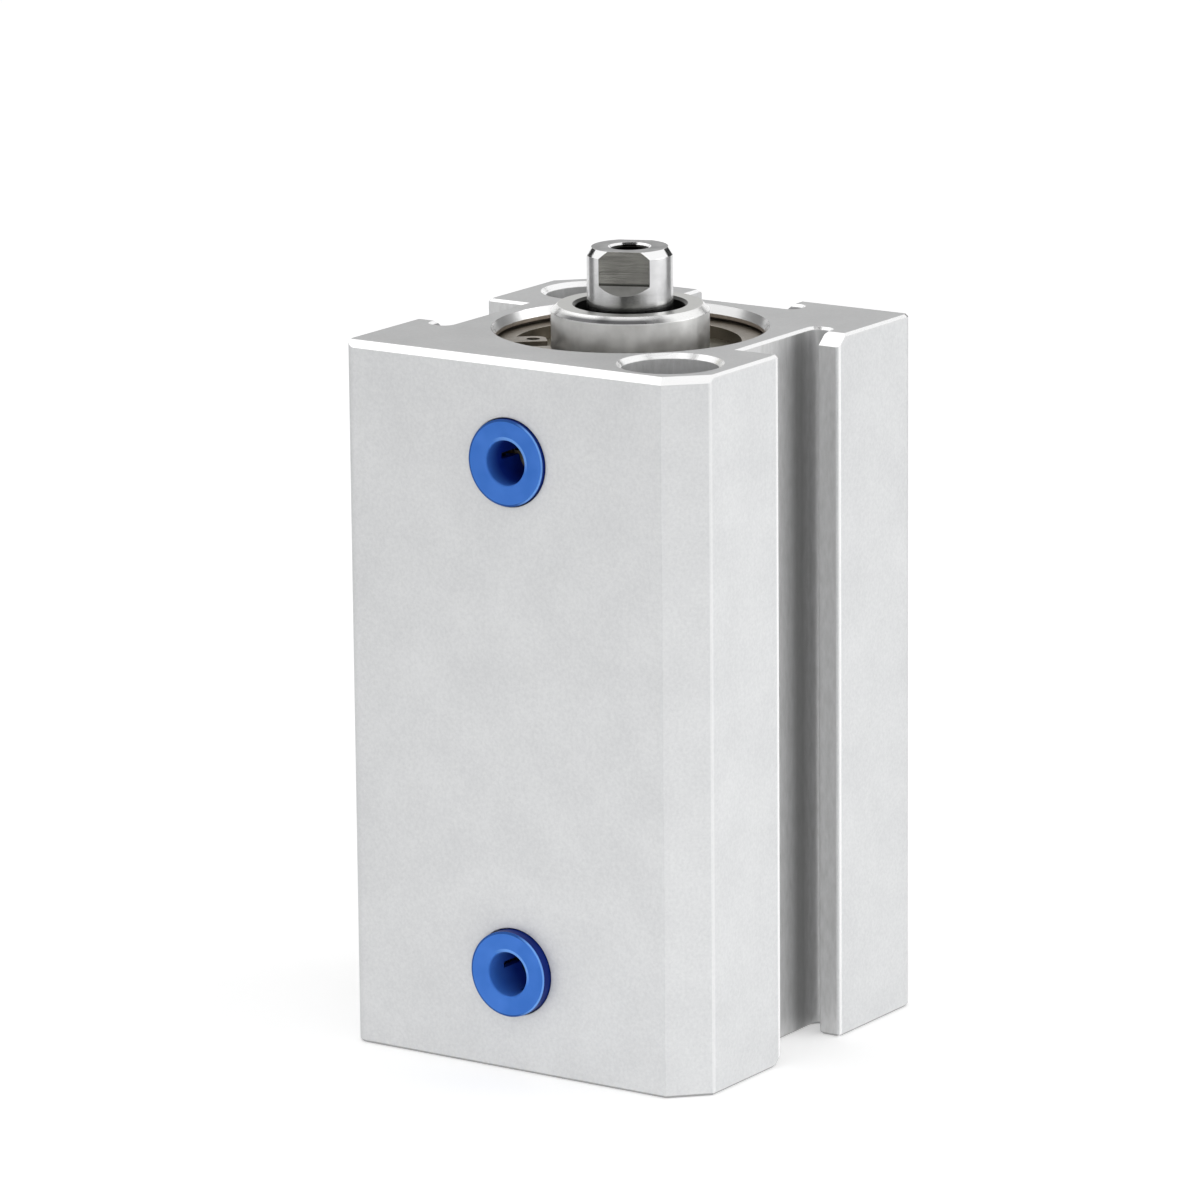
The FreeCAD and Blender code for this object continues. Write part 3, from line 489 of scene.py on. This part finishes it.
def turned_aluminium():
    """Turned on a lathe and clear anodised, with bright chamfers and pale edge lines painted as highlights,
    ends darkened as painted shade, an olive sunk face and a near-black mouth in painted shade, and a dark
    line on the boss's chamfer painted as a reflection.
    """
    made, tree, shader = new_material("turned_aluminium")
    shader.inputs["Metallic"].default_value = 0.85
    marks = turned_marks(tree, 0.12*MM)
    cloud = noise(tree, 1.5*MM, 3.0)
    rounded = edge_round(tree, 0.08*MM)
    tone = spread(tree, cloud, 0.0, 1.0)
    wall = mix_colour(tree, tone, (0.60, 0.60, 0.59, 1.0), (0.73, 0.73, 0.72, 1.0))
    # Level end faces darker than the walls: painted shade on faces that look up
    end_shaded = mix_colour(tree, tone, (0.40, 0.40, 0.385, 1.0), (0.50, 0.50, 0.48, 1.0))
    sunk_shaded = mix_colour(tree, tone, (0.140, 0.132, 0.100, 1.0), (0.210, 0.198, 0.158, 1.0))
    # Near black inside the mouth round the rod: painted shade
    mouth_shaded = mix_colour(tree, tone, (0.030, 0.030, 0.028, 1.0), (0.060, 0.060, 0.055, 1.0))
    bright = (0.94, 0.94, 0.93, 1.0)
    dark = (0.050, 0.050, 0.055, 1.0)

    level = own_axes(tree)["Z"]
    upward = facing(tree, UP)
    on_end = above(tree, upward, LEVEL_FACE)
    sloped = on_slope(tree, upward)
    outer = above(tree, distance_out(tree), MOUTH_LIMIT)
    # Chamfers, and pale lines on sharp edges painted as highlights
    chamfers_and_highlights = times(tree, either(tree, sloped, edge_share(tree, rounded)), outer)
    in_mouth = less(tree, 1.0, either(tree, on_end, outer))
    # A dark line on the boss's chamfer, toward the front: a painted reflection
    toward = along(tree, own_place(tree), outward(BOSS_LINE_TURN))
    toward = spread(tree, toward, 0.0, 0.9, *BOSS_LINE_FADE)
    boss_dark_reflection = times(tree, near(tree, level, BOSS_LINE, BOSS_LINE_HALF), toward)

    # Faces sunk below the barrel's top darkened further: painted shade
    end_shaded = mix_colour(tree, below(tree, level, RECESS_LIMIT), end_shaded, sunk_shaded)
    colour = mix_colour(tree, in_mouth, mix_colour(tree, on_end, wall, end_shaded), mouth_shaded)
    colour = mix_colour(tree, chamfers_and_highlights, colour, bright)
    colour = mix_colour(tree, times(tree, boss_dark_reflection, sloped), colour, dark)
    roughness = less(tree, spread(tree, cloud, 0.30, 0.42), times(tree, chamfers_and_highlights, 0.12))
    turned = share(tree, chamfers_and_highlights, 1.0, 0.0)
    link_finish(tree, shader, colour, roughness, bump(tree, marks, 0.004*MM, rounded, turned))
    return made


def polished_steel():
    """Ground and polished, with a bright chamfer, a dull end, milled run-outs darkened as a painted
    reflection, dark hole, and a foot darkened as a painted reflection with a dark patch above it painted
    the same way.
    """
    made, tree, shader = new_material("polished_steel")
    shader.inputs["Metallic"].default_value = 1.0
    marks = noise(tree, 1.0*MM, 3.0, 0.6, stretch=(0.4, 0.4, 14.0))
    tone = spread(tree, noise(tree, 1.8*MM, 2.0), 0.0, 1.0)
    skin = mix_colour(tree, tone, (0.56, 0.56, 0.565, 1.0), (0.68, 0.68, 0.685, 1.0))
    foot_reflection_tone = mix_colour(tree, tone, (0.24, 0.235, 0.215, 1.0), (0.36, 0.355, 0.335, 1.0))
    run_out_reflection = mix_colour(tree, tone, (0.20, 0.20, 0.19, 1.0), (0.28, 0.28, 0.27, 1.0))
    faced = mix_colour(tree, tone, grey(0.20), grey(0.30))
    flat = mix_colour(tree, tone, (0.580, 0.573, 0.525, 1.0), (0.705, 0.695, 0.640, 1.0))
    rod_dark_reflection_tone = (0.110, 0.110, 0.100, 1.0)
    shaded = (0.022, 0.022, 0.020, 1.0)

    # Where each finish lies
    level = own_axes(tree)["Z"]
    out = distance_out(tree)
    upward = facing(tree, UP)
    on_end = above(tree, upward, LEVEL_FACE)
    sloped = on_slope(tree, upward)
    run_out = times(tree, sloped, below(tree, level, RUN_OUT_LIMIT))
    chamfer = less(tree, sloped, run_out)
    on_flat = times(tree, below(tree, out, FLAT_LIMIT), below(tree, upward, SLOPED_FACE))
    from_foot = size_of(tree, less(tree, level, FLAT_FOOT))
    at_foot = times(tree, on_flat, spread(tree, from_foot, 0.9, 0.0, *FLAT_FOOT_FADE))
    in_shade = either(tree, at_foot, below(tree, out, ROD_HOLE))
    # Foot of the rod darkened: a painted reflection
    foot_reflection = spread(tree, level, 0.8, 0.0, FOOT_REFLECTION_FOOT, FOOT_REFLECTION_TOP)
    # A dark patch down the front of the rod above its foot: a painted reflection
    rod_dark_reflection = near(tree, along(tree, own_place(tree), sideways(ROD_REFLECTION_TURN)), ROD_REFLECTION_MIDDLE, ROD_REFLECTION_HALF)
    rod_dark_reflection = times(tree, rod_dark_reflection, spread(tree, level, 0.8, 0.0, ROD_REFLECTION_FOOT, ROD_REFLECTION_TOP))

    colour = mix_colour(tree, foot_reflection, skin, foot_reflection_tone)
    colour = mix_colour(tree, rod_dark_reflection, colour, rod_dark_reflection_tone)
    colour = mix_colour(tree, on_flat, colour, flat)
    colour = mix_colour(tree, on_end, colour, faced)
    # Run-outs darkened: a painted reflection
    colour = mix_colour(tree, run_out, colour, run_out_reflection)
    colour = mix_colour(tree, chamfer, colour, grey(0.94))
    colour = mix_colour(tree, in_shade, colour, shaded)
    dull = times(tree, either(tree, run_out, on_end), 0.20)
    dull = less(tree, dull, times(tree, chamfer, 0.09))
    roughness = plus(tree, spread(tree, marks, 0.15, 0.26), dull)
    link_finish(tree, shader, colour, roughness, bump(tree, marks, 0.002*MM, edge_round(tree, 0.05*MM)))
    return made


def spring_steel():
    """Stamped and tempered, faintly brown."""
    made, tree, shader = new_material("spring_steel")
    shader.inputs["Metallic"].default_value = 1.0
    grain = noise(tree, 0.18*MM, 3.0)
    stain = noise(tree, 2.2*MM, 3.0)
    rounded = edge_round(tree, 0.08*MM)
    skin = mottled(tree, stain, (0.15, 0.13, 0.10, 1.0), (0.25, 0.22, 0.18, 1.0))
    # Paler along sharp edges: painted highlights
    colour = mix_colour(tree, edge_share(tree, rounded), skin, (0.52, 0.48, 0.42, 1.0))
    link_finish(tree, shader, colour, spread(tree, grain, 0.28, 0.44), bump(tree, grain, 0.004*MM, rounded))
    return made


def plated_steel():
    made, tree, shader = new_material("plated_steel")
    shader.inputs["Metallic"].default_value = 1.0
    grain = noise(tree, 0.15*MM, 2.0)
    bloom = noise(tree, 1.2*MM, 3.0)
    colour = mottled(tree, bloom, (0.58, 0.59, 0.60, 1.0), (0.72, 0.72, 0.70, 1.0))
    link_finish(tree, shader, colour, spread(tree, grain, 0.26, 0.40), bump(tree, grain, 0.003*MM))
    return made


def bearing_bronze():
    """Sintered, with open pores."""
    made, tree, shader = new_material("bearing_bronze")
    shader.inputs["Metallic"].default_value = 0.9
    pores = add_node(tree, "TexVoronoi", {
        "Vector": own_coordinates(tree),
        "Scale": 1.0/(0.16*MM),
    }).outputs["Distance"]
    colour = mix_colour(tree, spread(tree, pores, 0.0, 1.0, 0.1, 0.5),
                        (0.22, 0.14, 0.07, 1.0), (0.58, 0.41, 0.22, 1.0))
    link_finish(tree, shader, colour, spread(tree, pores, 0.62, 0.38), bump(tree, pores, 0.01*MM))
    return made


def plated_brass():
    """Turned brass with dull nickel plating."""
    made, tree, shader = new_material("plated_brass")
    shader.inputs["Metallic"].default_value = 1.0
    grain = noise(tree, 0.12*MM, 2.0)
    tint = noise(tree, 1.0*MM, 2.0)
    colour = mottled(tree, tint, (0.26, 0.22, 0.16, 1.0), (0.38, 0.34, 0.27, 1.0))
    link_finish(tree, shader, colour, spread(tree, grain, 0.22, 0.34), bump(tree, grain, 0.002*MM))
    return made


def nitrile_rubber():
    made, tree, shader = new_material("nitrile_rubber")
    shader.inputs["Specular IOR Level"].default_value = 0.1
    grain = noise(tree, 0.10*MM, 3.0)
    bloom = noise(tree, 0.9*MM, 3.0)
    colour = mottled(tree, bloom, (0.007, 0.007, 0.007, 1.0), (0.016, 0.015, 0.015, 1.0))
    link_finish(tree, shader, colour, spread(tree, grain, 0.52, 0.74), bump(tree, grain, 0.006*MM))
    return made


def bumper_urethane():
    made, tree, shader = new_material("bumper_urethane")
    grain = noise(tree, 0.12*MM, 2.0)
    cloud = noise(tree, 1.6*MM, 2.0)
    colour = mottled(tree, cloud, (0.36, 0.23, 0.09, 1.0), (0.50, 0.36, 0.17, 1.0))
    link_finish(tree, shader, colour, spread(tree, grain, 0.34, 0.50), bump(tree, grain, 0.004*MM))
    return made


def guide_polymer():
    made, tree, shader = new_material("guide_polymer")
    flecks = noise(tree, 0.14*MM, 4.0, 0.7)
    colour = mottled(tree, flecks, (0.60, 0.56, 0.48, 1.0), (0.80, 0.77, 0.70, 1.0))
    link_finish(tree, shader, colour, spread(tree, flecks, 0.48, 0.64), bump(tree, flecks, 0.005*MM))
    return made


def bonded_magnet():
    made, tree, shader = new_material("bonded_magnet")
    grain = noise(tree, 0.16*MM, 4.0, 0.65)
    colour = mottled(tree, grain, (0.070, 0.066, 0.066, 1.0), (0.150, 0.140, 0.135, 1.0))
    link_finish(tree, shader, colour, spread(tree, grain, 0.46, 0.66), bump(tree, grain, 0.008*MM))
    return made


def port_offset(tree):
    """From the axis of the nearer port to a point, as a distance, and its parts to the right and up."""
    axes = own_axes(tree)
    upper, lower = ((low + high)/2 for low, high in (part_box(sleeve) for sleeve in SLEEVES))
    is_upper = above(tree, axes["Z"], (upper.z + lower.z)/2)
    aside = less(tree, axes["X"], upper.x)
    rise = less(tree, axes["Z"], share(tree, is_upper, lower.z, upper.z))
    reach = length(tree, add_node(tree, "CombineXYZ", {"X": aside, "Z": rise}).outputs["Vector"])
    return reach, maths(tree, "DIVIDE", aside, reach), maths(tree, "DIVIDE", rise, reach)


def sleeve_fade(tree):
    """Share of the painted shade in a sleeve's bore: 0 on its face, up to 1 where the bore is at its
    darkest.
    """
    axes = own_axes(tree)
    upper, lower = (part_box(sleeve) for sleeve in SLEEVES)
    is_upper = above(tree, axes["Z"], (upper[0].z + lower[1].z)/2)
    depth = less(tree, axes["Y"], share(tree, is_upper, lower[0].y, upper[0].y))
    fade = maths(tree, "DIVIDE", depth, share(tree, is_upper, LOWER_FADE, UPPER_FADE))
    return spread(tree, fade, 0.0, 1.0, FADE_START, 1.0)


def blue_polymer():
    """Moulded acetal: navy sides and rim in painted shade, a bore that darkens inward as painted shade,
    pale edges toward the light as painted highlights.
    """
    made, tree, shader = new_material("blue_polymer")
    shader.inputs["Specular IOR Level"].default_value = 0.1
    grain = noise(tree, 0.14*MM, 3.0)
    tone = spread(tree, noise(tree, 2.4*MM, 2.0), 0.0, 1.0)
    face = mix_colour(tree, tone, (0.044, 0.165, 0.570, 1.0), (0.062, 0.202, 0.650, 1.0))
    # Sides and outer rim darker navy than the face: painted shade
    side = mix_colour(tree, tone, (0.002, 0.014, 0.150, 1.0), (0.004, 0.022, 0.200, 1.0))
    bore_deep_shade = mix_colour(tree, tone, (0.004, 0.022, 0.240, 1.0), (0.008, 0.036, 0.320, 1.0))
    navy = (0.008, 0.045, 0.200, 1.0)
    pale = (0.180, 0.400, 0.880, 1.0)

    reach, aside, rise = port_offset(tree)
    toward = facing(tree, FRONT)
    inner = below(tree, reach, SLEEVE_MIDDLE)
    # The bore darkens inward from the face: painted shade
    bore = mix_colour(tree, sleeve_fade(tree), face, bore_deep_shade)
    on_face = above(tree, toward, SLEEVE_FACE_TURN)
    colour = mix_colour(tree, on_face, mix_colour(tree, inner, side, bore), face)

    # Rim shaded on the left and lit on the right, and a glint on the lip of the bore
    on_round = less(tree, *(above(tree, toward, limit) for limit in SLEEVE_ROUND_TURN))
    outer_round = times(tree, on_round, above(tree, reach, SLEEVE_MIDDLE))
    on_rim = times(tree, above(tree, reach, SLEEVE_RIM), above(tree, toward, SLEEVE_RIM_TURN))
    on_lip = times(tree, below(tree, reach, SLEEVE_LIP), above(tree, toward, SLEEVE_LIP_TURN))
    shaded = times(tree, on_rim, spread(tree, aside, 0.7, 0.0, *RIM_FADE))
    lit = times(tree, outer_round, spread(tree, aside, 0.0, 0.75, *RIM_FADE))
    up_right = plus(tree, times(tree, aside, GLINT_RIGHT), times(tree, rise, GLINT_UP))
    glint = times(tree, on_lip, spread(tree, up_right, 0.0, 0.75, *GLINT_FADE))
    colour = mix_colour(tree, shaded, colour, navy)
    colour = mix_colour(tree, either(tree, lit, glint), colour, pale)
    link_finish(tree, shader, colour, spread(tree, grain, 0.30, 0.42), bump(tree, grain, 0.003*MM))
    return made


FINISHES = {
    "anodised_barrel": anodised_aluminium(),
    "turned_aluminium": turned_aluminium(),
    "polished_steel": polished_steel(),
    "spring_steel": spring_steel(),
    "plated_steel": plated_steel(),
    "bearing_bronze": bearing_bronze(),
    "plated_brass": plated_brass(),
    "nitrile_rubber": nitrile_rubber(),
    "bumper_urethane": bumper_urethane(),
    "guide_polymer": guide_polymer(),
    "bonded_magnet": bonded_magnet(),
    "blue_polymer": blue_polymer(),
}


def dress_nodes():
    """Give each piece of the part the finish of its material slot."""
    for piece in frame["record"]["subparts"]:
        node = nodes[piece["node"]]
        finish = FINISHES[piece["material_slot"]]
        for slot in node.material_slots:
            slot.material = finish
        if not node.material_slots:
            node.data.materials.append(finish)


def rod_thread():
    """Ridge of the thread in the rod's end, wound down its hole."""
    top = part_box("piston_rod")[1].z - THREAD_TOP
    count = int(THREAD_LENGTH/THREAD_PITCH*THREAD_STEPS)
    sides = len(THREAD_PROFILE)
    points = []
    faces = []
    for index in range(count + 1):
        turn = index/THREAD_STEPS
        angle = turn*math.tau
        level = top - turn*THREAD_PITCH
        for radius, rise in THREAD_PROFILE:
            points.append((radius*math.cos(angle), radius*math.sin(angle), level + rise*THREAD_PITCH))
        if index:
            here = sides*index
            before = here - sides
            for edge in range(sides):
                following = (edge + 1) % sides
                faces.append((before + edge, before + following, here + following, here + edge))
    last = sides*count
    faces.append(tuple(reversed(range(sides))))
    faces.append(tuple(range(last, last + sides)))
    mesh = bpy.data.meshes.new("rod_thread")
    mesh.from_pydata(points, [], faces)
    mesh.materials.append(FINISHES["polished_steel"])
    piece = bpy.data.objects.new("rod_thread", mesh)
    bpy.context.scene.collection.objects.link(piece)
    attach(piece, "rod")


def seen_ray(tree):
    """1 for rays from the camera and for reflections, which see the white background."""
    path = add_node(tree, "LightPath").outputs
    shown = either(tree, path["Is Camera Ray"], path["Is Glossy Ray"])
    return either(tree, shown, path["Is Transmission Ray"])


def sky():
    world = bpy.data.worlds.new("studio")
    bpy.context.scene.world = world
    world.use_nodes = True
    tree = world.node_tree
    background = tree.nodes["Background"]
    background.inputs["Color"].default_value = WHITE
    tree.links.new(share(tree, seen_ray(tree), SKY_LEVEL, 1.0), background.inputs["Strength"])


def floor():
    """Pale floor that looks white away from the shadow of the part."""
    made, tree, shader = new_material("floor")
    tint = noise(tree, FLOOR_CLOUD, 2.0)
    tree.links.new(mix_colour(tree, tint, FLOOR_DULL, FLOOR_PALE), shader.inputs["Base Color"])
    tree.links.new(spread(tree, tint, 0.85, 0.95), shader.inputs["Roughness"])
    shader.inputs["Emission Color"].default_value = WHITE
    tree.links.new(times(tree, seen_ray(tree), FLOOR_GLOW), shader.inputs["Emission Strength"])
    half = FLOOR_SIZE/2
    mesh = bpy.data.meshes.new("floor")
    corners = [(-half, -half, 0), (half, -half, 0), (half, half, 0), (-half, half, 0)]
    mesh.from_pydata(corners, [], [(0, 1, 2, 3)])
    mesh.materials.append(made)
    plane = bpy.data.objects.new("floor", mesh)
    plane.location.z = -FLOOR_DROP
    bpy.context.scene.collection.objects.link(plane)


def softbox(name, place, size, power, aim, beam=math.pi, mirrored=True):
    """A soft lamp that the camera does not see, with the width of its beam."""
    lamp = bpy.data.lights.new(name, "AREA")
    lamp.shape = "RECTANGLE"
    lamp.size, lamp.size_y = size
    lamp.energy = power
    lamp.spread = beam
    box = bpy.data.objects.new(name, lamp)
    box.visible_camera = False
    box.visible_glossy = mirrored
    box.location = place
    box.rotation_euler = (Vector(aim) - Vector(place)).to_track_quat("-Z", "Y").to_euler()
    bpy.context.scene.collection.objects.link(box)


def lights():
    middle = (cad_low + cad_high)/2
    for name, (place, size, power) in LAMPS.items():
        softbox(name, place, size, power, middle)
    softbox("low_front", LOW_PLACE, LOW_SIZE, LOW_POWER, LOW_AIM, LOW_BEAM, mirrored=False)


def card_paper(name, tone):
    """Grey paper with a faint weave."""
    made, tree, shader = new_material(name)
    weave = noise(tree, PAPER_WEAVE, 2.0)
    dark, light = grey(tone*(1 - PAPER_VARIES)), grey(tone*(1 + PAPER_VARIES))
    tree.links.new(mix_colour(tree, weave, dark, light), shader.inputs["Base Color"])
    tree.links.new(spread(tree, weave, 0.80, 0.95), shader.inputs["Roughness"])
    return made


def card(name, middle, across, first, last, tone):
    """A card that only shows in reflections, from its first edge to its last."""
    corners = [middle - across + first, middle + across + first,
               middle + across + last, middle - across + last]
    mesh = bpy.data.meshes.new(name)
    mesh.from_pydata(corners, [], [(0, 1, 2, 3)])
    mesh.materials.append(card_paper(name, tone))
    made = bpy.data.objects.new(name, mesh)
    made.visible_camera = False
    made.visible_diffuse = False
    made.visible_shadow = False
    bpy.context.scene.collection.objects.link(made)


def cards():
    """Grey and dark cards round the part, and a small one over its rod."""
    for name, (turn, distance, width, foot, head, tone) in CARDS.items():
        azimuth = CAMERA_AZIMUTH + turn
        across = sideways(azimuth)*(width/2)
        card(name, outward(azimuth)*distance, across, Vector((0, 0, foot)), Vector((0, 0, head)), tone)
    height, step, width, depth, tone = OVER_CARD
    toward = outward(CAMERA_AZIMUTH)
    middle = toward*step + Vector((0, 0, ROD_TOP + height))
    reach = toward*(depth/2)
    card("over_card", middle, sideways(CAMERA_AZIMUTH)*(width/2), -reach, reach, tone)


def camera():
    aim = sideways(CAMERA_AZIMUTH)*AIM_ASIDE + Vector((0, 0, AIM_HEIGHT))
    back = Vector((math.sin(CAMERA_AZIMUTH)*math.cos(CAMERA_ELEVATION),
                   -math.cos(CAMERA_AZIMUTH)*math.cos(CAMERA_ELEVATION),
                   math.sin(CAMERA_ELEVATION)))
    data = bpy.data.cameras.new("camera")
    data.lens = LENS
    data.sensor_width = SENSOR
    data.clip_start = CAMERA_CLIP
    made = bpy.data.objects.new("camera", data)
    turn = (-back).to_track_quat("-Z", "Y").to_matrix().to_4x4()
    roll = Matrix.Rotation(CAMERA_ROLL, 4, "Z")
    made.matrix_world = Matrix.Translation(aim + back*CAMERA_DISTANCE) @ turn @ roll
    bpy.context.scene.collection.objects.link(made)
    bpy.context.scene.camera = made


bpy.context.scene.view_settings.view_transform = "Standard"
dress_nodes()
rod_thread()
sky()
floor()
lights()
cards()
camera()
